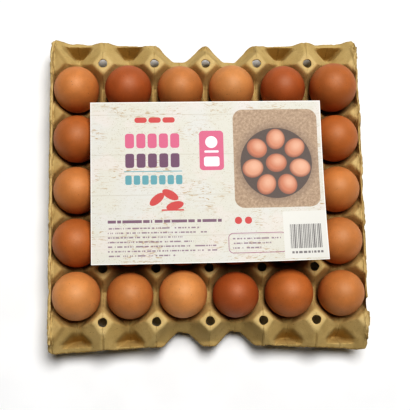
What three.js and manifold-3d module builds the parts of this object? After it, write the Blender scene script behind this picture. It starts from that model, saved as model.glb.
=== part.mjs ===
// An open moulded-pulp egg tray, five rows of six eggs, with a printed A5 card lying on the eggs.
// Units are millimetres. +X runs along a row, +Y across the rows, +Z is up, and the floor is z = 0.
// The tray is one sheet of pulp: a top surface and an underside, each made of flat facets.

import * as THREE from 'three';
import * as BufferGeometryUtils from 'three/addons/utils/BufferGeometryUtils.js';
import Module from 'manifold-3d';

const wasm = await Module();
wasm.setup();

// ---- Driving dimensions -------------------------------------------------------------------

const PITCH = 48.5; // from one cup to the next, both ways
const COLUMNS = 6;
const ROWS = 5;
const SHEET = 2; // thickness of the pulp

// Egg cups: octagonal hollows, steeper towards their four corners.
const FLOOR_Z = SHEET;
const SADDLE_Z = 25; // top of the low ridge between two cups
const CUP_HALF = 11.5; // half the cup floor, from flat to flat
const CUP_SIDE_RUN = 0.4375; // how far a side leans outward per mm of height
const CUP_CORNER = 11.49; // centre to corner face, on the floor
const CUP_CORNER_RUN = 0.362;

// Pegs: hollow pyramids standing between four cups, each with a hole in its flat top.
const PEG_Z = 44;
const PEG_SHOULDER = 0.28; // ledge where a pyramid stands on the saddle level
const HOLE_DIAMETER = 8.3;
const HOLE_SIDES = 8;

// Upright edge along each side, with a lip turned outward.
const SIDE_WALL_X = 143.25; // inner face
const SIDE_WALL_Z = 41; // top between two half pegs
const LIP_X = 146.9; // outer edge of the lip
const PEG_TOP_HALF = 10.75; // centre to corner of a peg's flat top
const SIDE_FALL = 7; // length of the fall from the last half peg to the corner

// Half rows at both ends: two closed pockets at each corner and two open notches in the middle.
const POCKET_FLOOR_Z = 3.2;
const POCKET_SHELF_Z = 20; // top of the end wall over a pocket
const NOTCH_FLOOR_Z = 4;
const NOTCH_SIDE_RUN = 0.727;
const NOTCH_CORNER_RUN = 0.546;
const NOTCH_Y = 131.5; // where the sheet is cut off at the bottom of a notch
const NOTCH_HALF = 5.5; // half the flat bottom of a notch
const POST_Y = 144.8; // end of the posts beside a notch
const POST_HALF = 7;
const CORNER_X = 147;
const CORNER_Y = 149.3; // the corners stand out a little further than the posts
const CORNER_RADIUS = 5;
const CORNER_STEPS = 4;

// Eggs: two half ellipsoids, the pointed end down.
const EGG_RADIUS = 21.5;
const EGG_RADIUS_SPREAD = 0.65;
const EGG_BIG_RADIUS = 22.4; // the one large egg, at the right end of the back row
const EGG_BELOW = 31; // widest girth to the pointed end
const EGG_ABOVE = 25.4; // widest girth to the blunt end
const EGG_SHIFT = 0.5; // how far an egg may sit off the middle of its cup
const EGG_TILT = 2.5; // degrees
const EGG_CLEARANCE = 0.45; // from the corner faces of its cup
const EGG_WALL_CLEARANCE = 0.4; // from the tray's upright side edges
const EGG_SEGMENTS = 12;
const EGG_RINGS = 9;

// Card: A5, lying on the eggs, one corner curled up.
const CARD_LENGTH = 210;
const CARD_WIDTH = 148;
const CARD_THICKNESS = 0.5;
const CARD_CENTRE = [-1.45, 2.7];
const CARD_TURN = 0.45; // degrees
const CARD_GAP = 0.4;
const CARD_CURL = 13; // lift of the front right corner
const CARD_CURL_LENGTH = 85; // how far the curl reaches in from that corner
const CARD_STEPS = [14, 10];

// ---- Colours ------------------------------------------------------------------------------

const PULP = new THREE.MeshStandardMaterial({ color: '#a8945c', roughness: 0.95, metalness: 0 });
const CARD = new THREE.MeshStandardMaterial({ color: '#efece4', roughness: 0.6, metalness: 0 });
const EGG_TINTS = { pale: '#d9925f', tan: '#cc8050', brown: '#b9683c', russet: '#a24f2a' };
const EGG_ROWS = [ // back row first, left to right
  ['tan', 'russet', 'tan', 'pale', 'russet', 'brown'],
  ['brown', 'tan', 'brown', 'tan', 'pale', 'brown'],
  ['tan', 'brown', 'pale', 'russet', 'tan', 'tan'],
  ['brown', 'pale', 'tan', 'brown', 'tan', 'tan'],
  ['pale', 'tan', 'pale', 'russet', 'brown', 'tan'],
];

// ---- Solids -------------------------------------------------------------------------------

// A closed geometry with merged corners, as a solid that can be cut and joined.
function solidOf(geometry) {
  const bare = geometry.clone();
  bare.deleteAttribute('normal');
  bare.deleteAttribute('uv');
  const merged = BufferGeometryUtils.mergeVertices(bare, 1e-4);
  const corners = [];
  for (let i = 0; i < merged.index.count; i += 3) {
    const [a, b, c] = [0, 1, 2].map((k) => merged.index.getX(i + k));
    if (a !== b && b !== c && c !== a) corners.push(a, b, c);
  }
  return new wasm.Manifold(new wasm.Mesh({
    numProp: 3,
    vertProperties: Float32Array.from(merged.attributes.position.array),
    triVerts: Uint32Array.from(corners),
  }));
}

// A solid back into a geometry.
function geometryOf(solid) {
  const mesh = solid.getMesh();
  const geometry = new THREE.BufferGeometry();
  geometry.setAttribute('position', new THREE.BufferAttribute(mesh.vertProperties, 3));
  geometry.setIndex(new THREE.BufferAttribute(mesh.triVerts, 1));
  return geometry;
}

// A solid through a stack of sections: [[z, [[x, y], ...]], ...], each going round anticlockwise.
function loft(sections) {
  const count = sections[0][1].length;
  const points = sections.flatMap(([z, outline]) => outline.flatMap(([x, y]) => [x, y, z]));
  const faces = [];
  for (let i = 1; i + 1 < count; i += 1) faces.push(0, i + 1, i);
  for (let s = 0; s + 1 < sections.length; s += 1) {
    for (let i = 0; i < count; i += 1) {
      const [a, b] = [s * count + i, s * count + (i + 1) % count];
      faces.push(a, b, b + count, a, b + count, a + count);
    }
  }
  const top = (sections.length - 1) * count;
  for (let i = 1; i + 1 < count; i += 1) faces.push(top, top + i, top + i + 1);
  const geometry = new THREE.BufferGeometry();
  geometry.setAttribute('position', new THREE.Float32BufferAttribute(points, 3));
  geometry.setIndex(faces);
  return solidOf(geometry);
}

const block = (low, high) => loft([
  [low[2], [[low[0], low[1]], [high[0], low[1]], [high[0], high[1]], [low[0], high[1]]]],
  [high[2], [[low[0], low[1]], [high[0], low[1]], [high[0], high[1]], [low[0], high[1]]]],
]);

const union = (solids) => wasm.Manifold.union(solids);

// The octagon with sides at distance half and cut corners where |x| + |y| = corner.
function octagon([x, y], half, corner) {
  const short = corner - half;
  const right = [[half, -short], [half, short], [short, half], [-short, half]];
  return [...right, ...right.map(([u, v]) => [-u, -v])].map(([u, v]) => [x + u, y + v]);
}

const diamond = ([x, y], reach) => [[x + reach, y], [x, y + reach], [x - reach, y], [x, y - reach]];

// ---- Tray ---------------------------------------------------------------------------------

// Both surfaces of the sheet come from the same functions: inset is 0 for the top surface and the
// sheet's thickness for the underside, which moves every face that far into the pulp.

const columnX = (column) => (column - (COLUMNS - 1) / 2) * PITCH;
const rowY = (row) => ((ROWS - 1) / 2 - row) * PITCH;
const slant = (run, inset) => inset * Math.hypot(1, run);
const END_ROW_Y = (ROWS + 1) / 2 * PITCH; // centre line of the half rows
const LAST_PEG_Y = ROWS / 2 * PITCH;

function hollow(centre, half, sideRun, corner, cornerRun, floorZ, inset) {
  const section = (z) => [z, octagon(
    centre,
    half + (z - floorZ) * sideRun + slant(sideRun, inset),
    Math.SQRT2 * (corner + (z - floorZ) * cornerRun + slant(cornerRun, inset)),
  )];
  return loft([section(floorZ - inset * 1.5), section(SADDLE_Z + 1)])
    .trimByPlane([0, 0, 1], floorZ - inset);
}

function eggCup(column, row, inset) {
  const centre = [columnX(column), rowY(row)];
  return hollow(centre, CUP_HALF, CUP_SIDE_RUN, CUP_CORNER, CUP_CORNER_RUN, FLOOR_Z, inset);
}

// A notch is a shallower cup on the tray's end, cut off by the outline.
function notchCup(column, end, inset) {
  const depth = SADDLE_Z - NOTCH_FLOOR_Z;
  const topHalf = CUP_HALF + (SADDLE_Z - FLOOR_Z) * CUP_SIDE_RUN;
  const topCorner = CUP_CORNER + (SADDLE_Z - FLOOR_Z) * CUP_CORNER_RUN;
  return hollow(
    [columnX(column), end * END_ROW_Y],
    topHalf - depth * NOTCH_SIDE_RUN, NOTCH_SIDE_RUN,
    topCorner - depth * NOTCH_CORNER_RUN, NOTCH_CORNER_RUN,
    NOTCH_FLOOR_Z, inset,
  );
}

// A pocket is a funnel with an upright end wall. Its outline is given for the right half, as
// distances from the centre line and from the middle of the tray.
function pocket(column, end, inset) {
  const x = columnX(column);
  const outline = (half) => {
    const ring = [...half.map(([u, y]) => [u, y]), ...half.map(([u, y]) => [-u, y]).reverse()];
    const placed = ring.map(([u, y]) => [x + u, end * y]);
    return end > 0 ? placed : placed.reverse();
  };
  const out = inset * 1.1; // sideways, the faces here are all steep
  return loft([
    [POCKET_FLOOR_Z - inset, outline([[4 + out, 136 - out], [5.2 + out, 137.5], [5.2 + out, 138.8 + out]])],
    [POCKET_SHELF_Z, outline([[5.6 + out, 126 - out], [13.6 + out, 136 - out], [13.3 + out, 143.7 + out]])],
    [SADDLE_Z + 1, outline([[6 + out, 123 - out], [21 + out, 137.6], [21.6 + out, 145.4 + out]])],
  ]);
}

// The end wall of a pocket stops below the posts on either side.
function shelfCut(column, end, inset) {
  const x = columnX(column);
  const [near, far] = [140 - inset, 160];
  const [bottom, top] = [15.5 + inset, 21 + inset];
  const section = (half) => {
    const ring = [[x - half, near], [x + half, near], [x + half, far], [x - half, far]];
    const placed = ring.map(([u, y]) => [u, end * y]);
    return end > 0 ? placed : placed.reverse();
  };
  return loft([[POCKET_SHELF_Z - inset, section(bottom)], [SADDLE_Z + 1, section(top)]]);
}

function peg(centre, inset) {
  const reach = (z) => PITCH - Math.SQRT2 * (CUP_CORNER + (z - FLOOR_Z) * CUP_CORNER_RUN
    + slant(CUP_CORNER_RUN, inset)) - PEG_SHOULDER;
  const [bottom, top] = [SADDLE_Z - inset - 1, PEG_Z - inset];
  return loft([[bottom, diamond(centre, reach(bottom))], [top, diamond(centre, reach(top))]]);
}

// Profile of a side edge in the YZ plane: full height at the half pegs, a little lower between
// them, and down to the saddle level at the corners.
function sideProfile(inset) {
  const half = [];
  for (let k = 0; k < (ROWS + 1) / 2; k += 1) {
    const y = (k + 0.5) * PITCH;
    if (y > LAST_PEG_Y + 1) break;
    half.push([y - PEG_TOP_HALF - 3, SIDE_WALL_Z], [y - PEG_TOP_HALF + 3, PEG_Z], [y + 6, PEG_Z]);
    if (y < LAST_PEG_Y - 1) half.push([y + PEG_TOP_HALF + 3, SIDE_WALL_Z]);
  }
  half.push([LAST_PEG_Y + 6 + SIDE_FALL, SADDLE_Z], [160, SADDLE_Z]);
  const top = [...half.map(([y, z]) => [-y, z - inset]).reverse(), ...half.map(([y, z]) => [y, z - inset])];
  return [[-160, 0], ...top, [160, 0]];
}

function sideBlock(side, innerX, inset) {
  const shape = new THREE.Shape(sideProfile(inset).map(([y, z]) => new THREE.Vector2(y, z)).reverse());
  const geometry = new THREE.ExtrudeGeometry(shape, { depth: 160 - innerX, bevelEnabled: false });
  // The shape's x becomes +Y and its y becomes +Z, so it is extruded along +X.
  const turn = new THREE.Matrix4().makeBasis(
    new THREE.Vector3(0, 1, 0), new THREE.Vector3(0, 0, 1), new THREE.Vector3(1, 0, 0),
  );
  geometry.applyMatrix4(turn);
  geometry.translate(innerX, 0, 0);
  if (side < 0) geometry.rotateZ(Math.PI);
  return solidOf(geometry);
}

// Everything below one surface of the sheet.
function below(inset) {
  const baseZ = -3 * inset;
  const hollows = [];
  for (let row = 0; row < ROWS; row += 1) {
    for (let column = 0; column < COLUMNS; column += 1) hollows.push(eggCup(column, row, inset));
  }
  for (const end of [1, -1]) {
    for (const column of [2, 3]) hollows.push(notchCup(column, end, inset));
    for (const column of [0, 1, 4, 5]) {
      hollows.push(pocket(column, end, inset), shelfCut(column, end, inset));
    }
  }
  const slab = block([-160, -160, baseZ], [160, 160, SADDLE_Z - inset]).subtract(union(hollows));
  const raised = [];
  for (let i = 0; i <= COLUMNS; i += 1) {
    for (let j = 0; j <= ROWS; j += 1) {
      raised.push(peg([(i - COLUMNS / 2) * PITCH, (j - ROWS / 2) * PITCH], inset));
    }
  }
  for (const side of [1, -1]) raised.push(sideBlock(side, SIDE_WALL_X + inset, inset));
  return union([slab, ...raised]);
}

// The tray seen from above: rounded corners, ends that run in a little towards the middle, and
// two notches in each end.
function outlinePrism() {
  const corner = [];
  for (let k = 0; k <= CORNER_STEPS; k += 1) {
    const angle = k / CORNER_STEPS * Math.PI / 2;
    corner.push([
      CORNER_X - CORNER_RADIUS * (1 - Math.cos(angle)),
      CORNER_Y - CORNER_RADIUS * (1 - Math.sin(angle)),
    ]);
  }
  const notchX = columnX(3);
  const rise = POST_Y - NOTCH_Y;
  const quarter = [
    [LIP_X, 0],
    [LIP_X, LAST_PEG_Y + 8],
    ...corner,
    [PITCH + POST_HALF, POST_Y],
    [notchX + NOTCH_HALF + rise, POST_Y],
    [notchX + NOTCH_HALF, NOTCH_Y],
    [notchX - NOTCH_HALF, NOTCH_Y],
    [notchX - NOTCH_HALF - rise, POST_Y],
  ];
  const back = [...quarter, ...quarter.slice(1).map(([x, y]) => [-x, y]).reverse()];
  const ring = [...back, ...back.slice(1).map(([x, y]) => [x, -y]).reverse()];
  const shape = new THREE.Shape(ring.map(([x, y]) => new THREE.Vector2(x, y)));
  const geometry = new THREE.ExtrudeGeometry(shape, { depth: 60, bevelEnabled: false });
  geometry.translate(0, 0, -1);
  return solidOf(geometry);
}

function pegHoles() {
  const holes = [];
  for (let i = 1; i < COLUMNS; i += 1) {
    for (let j = 0; j <= ROWS; j += 1) {
      const drill = new THREE.CylinderGeometry(HOLE_DIAMETER / 2, HOLE_DIAMETER / 2, 8, HOLE_SIDES);
      drill.rotateX(Math.PI / 2);
      drill.rotateZ(Math.PI / HOLE_SIDES);
      drill.translate((i - COLUMNS / 2) * PITCH, (j - ROWS / 2) * PITCH, PEG_Z - SHEET / 2);
      holes.push(solidOf(drill));
    }
  }
  return union(holes);
}

function trayGeometry() {
  const sheet = below(0).subtract(below(SHEET)).intersect(outlinePrism()).subtract(pegHoles());
  return geometryOf(sheet);
}

// ---- Eggs ---------------------------------------------------------------------------------

// A repeatable draw between -1 and 1 for each egg and purpose.
function draw(egg, purpose) {
  const wave = Math.sin(egg * 12.9898 + purpose * 78.233) * 43758.5453;
  return 2 * (wave - Math.floor(wave)) - 1;
}

// Where an egg of this radius comes to rest on the four corner faces of its cup.
function eggPlace(row, column) {
  const number = row * COLUMNS + column;
  const big = row === 0 && column === COLUMNS - 1;
  const radius = big ? EGG_BIG_RADIUS : EGG_RADIUS + EGG_RADIUS_SPREAD * draw(number, 1);
  const room = SIDE_WALL_X - EGG_WALL_CLEARANCE - radius;
  const x = THREE.MathUtils.clamp(columnX(column) + EGG_SHIFT * draw(number, 2), -room, room);
  const shift = [x - columnX(column), EGG_SHIFT * draw(number, 3)];
  const reach = Math.hypot(radius, CUP_CORNER_RUN * EGG_BELOW);
  const offset = (Math.abs(shift[0]) + Math.abs(shift[1])) / Math.SQRT2;
  const z = FLOOR_Z + (reach + offset - CUP_CORNER + EGG_CLEARANCE) / CUP_CORNER_RUN;
  const tilt = [4, 5].map((purpose) => THREE.MathUtils.degToRad(EGG_TILT * draw(number, purpose)));
  return { radius, centre: [columnX(column) + shift[0], rowY(row) + shift[1], z], tilt };
}

function eggGeometry(radius) {
  const profile = [];
  for (let i = 0; i <= EGG_RINGS; i += 1) {
    const angle = -Math.PI / 2 + Math.PI * i / EGG_RINGS;
    const height = Math.sin(angle) * (angle < 0 ? EGG_BELOW : EGG_ABOVE);
    const onAxis = i === 0 || i === EGG_RINGS;
    profile.push(new THREE.Vector2(onAxis ? 0 : radius * Math.cos(angle), height));
  }
  const geometry = new THREE.LatheGeometry(profile, EGG_SEGMENTS);
  geometry.rotateX(Math.PI / 2);
  return geometryOf(solidOf(geometry));
}

function eggMesh(row, column) {
  const { radius, centre, tilt } = eggPlace(row, column);
  const tint = EGG_TINTS[EGG_ROWS[row][column]];
  const shell = new THREE.MeshStandardMaterial({ color: tint, roughness: 0.55, metalness: 0 });
  const mesh = new THREE.Mesh(eggGeometry(radius), shell);
  mesh.name = `egg_r${row + 1}_c${column + 1}`;
  mesh.position.set(...centre);
  mesh.rotation.set(tilt[0], tilt[1], 0);
  return mesh;
}

// ---- Card ---------------------------------------------------------------------------------

// Height of the card over its lowest level, from its own middle: flat, and curled at one corner.
function cardLift(x, y) {
  const inward = ((CARD_LENGTH / 2 - x) + (y + CARD_WIDTH / 2)) / Math.SQRT2;
  const share = Math.max(0, 1 - inward / CARD_CURL_LENGTH);
  return CARD_CURL * share * share;
}

function cardGeometry() {
  const [nx, ny] = CARD_STEPS;
  const points = [];
  for (const side of [0, CARD_THICKNESS]) {
    for (let j = 0; j <= ny; j += 1) {
      for (let i = 0; i <= nx; i += 1) {
        const [x, y] = [(i / nx - 0.5) * CARD_LENGTH, (j / ny - 0.5) * CARD_WIDTH];
        points.push(x, y, cardLift(x, y) + side);
      }
    }
  }
  const layer = (nx + 1) * (ny + 1);
  const at = (i, j, k) => k * layer + j * (nx + 1) + i;
  const faces = [];
  const quad = (a, b, c, d) => faces.push(a, b, c, a, c, d);
  for (let j = 0; j < ny; j += 1) {
    for (let i = 0; i < nx; i += 1) {
      quad(at(i, j, 1), at(i + 1, j, 1), at(i + 1, j + 1, 1), at(i, j + 1, 1));
      quad(at(i, j, 0), at(i, j + 1, 0), at(i + 1, j + 1, 0), at(i + 1, j, 0));
    }
  }
  for (let i = 0; i < nx; i += 1) {
    quad(at(i, 0, 0), at(i + 1, 0, 0), at(i + 1, 0, 1), at(i, 0, 1));
    quad(at(i + 1, ny, 0), at(i, ny, 0), at(i, ny, 1), at(i + 1, ny, 1));
  }
  for (let j = 0; j < ny; j += 1) {
    quad(at(nx, j, 0), at(nx, j + 1, 0), at(nx, j + 1, 1), at(nx, j, 1));
    quad(at(0, j + 1, 0), at(0, j, 0), at(0, j, 1), at(0, j + 1, 1));
  }
  const geometry = new THREE.BufferGeometry();
  geometry.setAttribute('position', new THREE.Float32BufferAttribute(points, 3));
  geometry.setIndex(faces);
  return geometry;
}

// The card rests on the highest egg that it covers.
function cardHeight() {
  let top = 0;
  for (let row = 1; row < ROWS - 1; row += 1) {
    for (let column = 0; column < COLUMNS; column += 1) {
      top = Math.max(top, eggPlace(row, column).centre[2] + EGG_ABOVE);
    }
  }
  return top + CARD_GAP;
}

// ---- Assembly -----------------------------------------------------------------------------

const group = new THREE.Group();

const tray = new THREE.Mesh(trayGeometry(), PULP);
tray.name = 'tray';
group.add(tray);

for (let row = 0; row < ROWS; row += 1) {
  for (let column = 0; column < COLUMNS; column += 1) group.add(eggMesh(row, column));
}

const card = new THREE.Mesh(cardGeometry(), CARD);
card.name = 'card';
card.position.set(...CARD_CENTRE, cardHeight());
card.rotation.z = THREE.MathUtils.degToRad(CARD_TURN);
group.add(card);

export default group;
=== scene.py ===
"""The looks of a thirty-egg tray: its moulded pulp, its brown eggs and the printed card on them.

Shapes are worked out in millimetres, in the frame's axes, and scaled to metres when a mesh is made.
"""

import math

import bpy
import numpy as np
from mathutils import Matrix, Vector


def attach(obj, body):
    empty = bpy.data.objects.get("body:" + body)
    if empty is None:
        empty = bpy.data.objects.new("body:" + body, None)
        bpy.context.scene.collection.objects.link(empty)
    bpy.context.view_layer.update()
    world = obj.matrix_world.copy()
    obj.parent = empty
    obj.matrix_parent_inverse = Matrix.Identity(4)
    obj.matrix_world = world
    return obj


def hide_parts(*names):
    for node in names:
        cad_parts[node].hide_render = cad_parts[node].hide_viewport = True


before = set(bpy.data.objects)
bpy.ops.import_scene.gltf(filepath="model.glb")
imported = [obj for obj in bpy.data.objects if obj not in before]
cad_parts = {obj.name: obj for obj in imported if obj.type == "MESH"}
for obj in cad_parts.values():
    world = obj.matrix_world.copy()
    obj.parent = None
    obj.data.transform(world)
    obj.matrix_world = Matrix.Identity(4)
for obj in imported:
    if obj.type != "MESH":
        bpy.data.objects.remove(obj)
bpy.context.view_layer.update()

MM = 0.001

# ---- Dimensions, the same as the solids' ----------------------------------------------------

PITCH = 48.5
COLUMNS, ROWS = 6, 5
SHEET = 2.0
FLOOR_Z, SADDLE_Z, PEG_Z = 2.0, 25.0, 44.0
CUP_HALF, CUP_SIDE_RUN = 11.5, 0.4375
CUP_CORNER, CUP_CORNER_RUN = 11.49, 0.362
PEG_TOP_HALF = 10.75
HOLE_RADIUS = 4.15
SIDE_WALL_X, SIDE_WALL_Z, LIP_X, WALL_END_Y = 142.4, 41.0, 147.0, 139.0
POCKET_FLOOR_Z = 3.2
NOTCH_FLOOR_Z, NOTCH_SIDE_RUN, NOTCH_CORNER_RUN = 4.0, 0.727, 0.546
NOTCH_Y, NOTCH_HALF = 131.5, 5.5
POST_Y, POST_HALF = 144.8, 7.0
CORNER_X, CORNER_Y, CORNER_RADIUS = 147.0, 149.3, 5.0
END_ROW_Y = (ROWS + 1) / 2 * PITCH
LAST_PEG_Y = ROWS / 2 * PITCH

EGG_RADIUS, EGG_RADIUS_SPREAD, EGG_BIG_RADIUS = 21.5, 0.65, 22.4
EGG_BELOW, EGG_ABOVE = 31.0, 25.4
EGG_SHIFT, EGG_TILT = 0.5, 2.5
EGG_CLEARANCE, EGG_WALL_CLEARANCE, EGG_WALL_X = 0.45, 0.4, 143.25

CARD_LENGTH, CARD_WIDTH, CARD_THICKNESS = 210.0, 148.0, 0.5
CARD_CENTRE, CARD_TURN = (-1.45, 2.7), 0.45
CARD_GAP, CARD_CURL, CARD_CURL_LENGTH = 0.4, 13.0, 85.0


# ---- Small helpers --------------------------------------------------------------------------

def linear(red, green, blue):
    """A colour given as on a screen, 0 to 255, as the linear colour that a shader takes."""
    def one(value):
        value /= 255
        return value / 12.92 if value <= 0.04045 else ((value + 0.055) / 1.055) ** 2.4
    return (one(red), one(green), one(blue), 1.0)


def smooth_max(a, b, soft):
    """The larger of a and b, with the crease between them rounded over about soft."""
    share = np.clip(0.5 + 0.5 * (a - b) / soft, 0, 1)
    return b + (a - b) * share + soft * share * (1 - share)


def smooth_min(a, b, soft):
    """The smaller of a and b, with the crease between them rounded in the same way."""
    return -smooth_max(-a, -b, soft)


def smooth_step(low, high, value):
    """0 up to low, 1 from high on, and a smooth rise between them."""
    share = np.clip((value - low) / (high - low), 0, 1)
    return share * share * (3 - 2 * share)


def value_noise(x, y, size, seed):
    """Smooth noise from -1 to 1 with lumps about size across."""
    across, along = x / size + 17.3 * seed, y / size - 9.1 * seed
    cell_x, cell_y = np.floor(across), np.floor(along)
    part_x, part_y = across - cell_x, along - cell_y
    part_x = part_x * part_x * (3 - 2 * part_x)
    part_y = part_y * part_y * (3 - 2 * part_y)

    def corner(i, j):
        wave = np.sin((cell_x + i) * 127.1 + (cell_y + j) * 311.7) * 43758.5453
        return wave - np.floor(wave)

    near = corner(0, 0) * (1 - part_x) + corner(1, 0) * part_x
    far = corner(0, 1) * (1 - part_x) + corner(1, 1) * part_x
    return 2 * (near * (1 - part_y) + far * part_y) - 1


def noise_layers(x, y, layers):
    """The sum of layers of noise, each given as its height, its size and its seed."""
    return sum(height * value_noise(x, y, size, seed) for height, size, seed in layers)


def outline(index):
    """The point numbers once round the edge of a grid of points."""
    return np.concatenate([index[:, 0], index[-1, 1:], index[-2::-1, -1], index[0, -2:0:-1]])


def mesh_object(name, points_mm, faces, material):
    """A mesh object from points in millimetres, smooth shaded."""
    mesh = bpy.data.meshes.new(name)
    points = np.asarray(points_mm, float) * MM
    mesh.from_pydata(points.tolist(), [], [list(map(int, face)) for face in faces])
    mesh.validate()
    mesh.update()
    mesh.shade_smooth()
    made = bpy.data.objects.new(name, mesh)
    bpy.context.scene.collection.objects.link(made)
    mesh.materials.append(material)
    return made


# ---- Node helpers ---------------------------------------------------------------------------

class Shader:
    """A material whose nodes are added by short calls."""

    def __init__(self, name, **sockets):
        self.material = bpy.data.materials.new(name)
        self.material.use_nodes = True
        self.tree = self.material.node_tree
        self.surface = self.tree.nodes["Principled BSDF"]
        for socket, value in sockets.items():
            self.surface.inputs[socket.replace("_", " ")].default_value = value
        coordinates = self.node("ShaderNodeTexCoord").outputs["Object"]
        self.place = self.vector("MULTIPLY", coordinates, (1000, 1000, 1000))  # in millimetres

    def node(self, kind, **settings):
        made = self.tree.nodes.new(kind)
        for name, value in settings.items():
            setattr(made, name, value)
        return made

    def feed(self, socket, value):
        if isinstance(value, bpy.types.NodeSocket):
            self.tree.links.new(value, socket)
        else:
            socket.default_value = value

    def math(self, operation, *values):
        made = self.node("ShaderNodeMath", operation=operation)
        for socket, value in zip(made.inputs, values):
            self.feed(socket, value)
        return made.outputs[0]

    def vector(self, operation, *values):
        made = self.node("ShaderNodeVectorMath", operation=operation)
        for socket, value in zip(made.inputs, values):
            self.feed(socket, value)
        return made.outputs["Vector"]

    def noise(self, size, detail=3.0, roughness=0.55, place=None, offset=0.0):
        """Noise from 0 to 1 with lumps about size millimetres across."""
        start = self.place if place is None else place
        moved = self.vector("ADD", start, (offset, offset * 0.7, -offset))
        made = self.node("ShaderNodeTexNoise")
        self.feed(made.inputs["Vector"], moved)
        made.inputs["Scale"].default_value = 1 / size
        made.inputs["Detail"].default_value = detail
        made.inputs["Roughness"].default_value = roughness
        return made.outputs["Fac"]

    def between(self, value, low, high, low_out=0.0, high_out=1.0, smooth=True):
        """value brought from low..high to low_out..high_out and held there."""
        kind = "SMOOTHSTEP" if smooth else "LINEAR"
        made = self.node("ShaderNodeMapRange", interpolation_type=kind)
        for socket, number in zip(made.inputs, (value, low, high, low_out, high_out)):
            self.feed(socket, number)
        return made.outputs["Result"]

    def mix(self, share, first, second):
        """first where share is 0, second where it is 1."""
        made = self.node("ShaderNodeMix", data_type="RGBA")
        self.feed(made.inputs["Factor"], share)
        colours = [socket for socket in made.inputs if socket.type == "RGBA"]
        self.feed(colours[0], first)
        self.feed(colours[1], second)
        return next(socket for socket in made.outputs if socket.type == "RGBA")

    def split(self, vector=None):
        made = self.node("ShaderNodeSeparateXYZ")
        self.feed(made.inputs[0], self.place if vector is None else vector)
        return made.outputs

    def bump(self, height, depth_mm, strength=1.0, under=None):
        made = self.node("ShaderNodeBump")
        made.inputs["Strength"].default_value = strength
        made.inputs["Distance"].default_value = depth_mm * MM
        self.feed(made.inputs["Height"], height)
        if under is not None:
            self.feed(made.inputs["Normal"], under)
        return made.outputs["Normal"]

    def finish(self, colour=None, roughness=None, normal=None):
        for name, value in (("Base Color", colour), ("Roughness", roughness), ("Normal", normal)):
            if value is not None:
                self.feed(self.surface.inputs[name], value)
        return self.material


# ---- Materials ------------------------------------------------------------------------------

# Among these, the browner rim's colour and the colours below the peg tops and at the bottom of the cups
# are painted shade, and the paler colours of the peg tops and of the outer lip on the left are painted
# highlights.
PULP = {
    "light": (220, 196, 142), "middle": (207, 182, 127), "dark": (174, 148, 93),
    "dark fleck": (112, 82, 44), "pale fleck": (232, 212, 164), "seam": (140, 110, 62),
    "painted rim shade": (128, 96, 50), "painted peg top highlight": (230, 206, 154), "painted shade below peg tops": (186, 157, 96),
    "left pegs": (150, 118, 66), "painted left lip light": (236, 212, 156), "deep": (160, 124, 62),
    "frayed": (132, 104, 58),
}
FIBRE_STRETCH, STREAK_STRETCH = (1.0, 0.28, 1.0), (1.0, 0.16, 0.5)
# Heights of the painted highlight on the peg tops, of the painted golden shade below them and of the
# painted shade at the bottom of the cups.
PEG_TOP_HIGHLIGHT_Z, BELOW_TOP_SHADE_Z, CUP_SHADE_Z = (41.5, 43.5), (40.6, 42.9), (6, 24)
SEAM_HALF, SEAM_WANDER = (0.15, 0.65), 1.6
# Where the left half pegs turn browner, and where the painted highlight lies on their outer lip.
LEFT_PEG_TINT_X, LEFT_LIP_LIGHT_X = (-143, -140, -133, -127), (-143.5, -142)
FRAYED_X, FRAYED_Z = (139.5, 142.5), (30, 38)

SHELL_DEEP, SHELL_BRIGHT, SHELL_SPECKLE = 0.90, 1.05, 0.42  # shares of the shell's own shade


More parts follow.
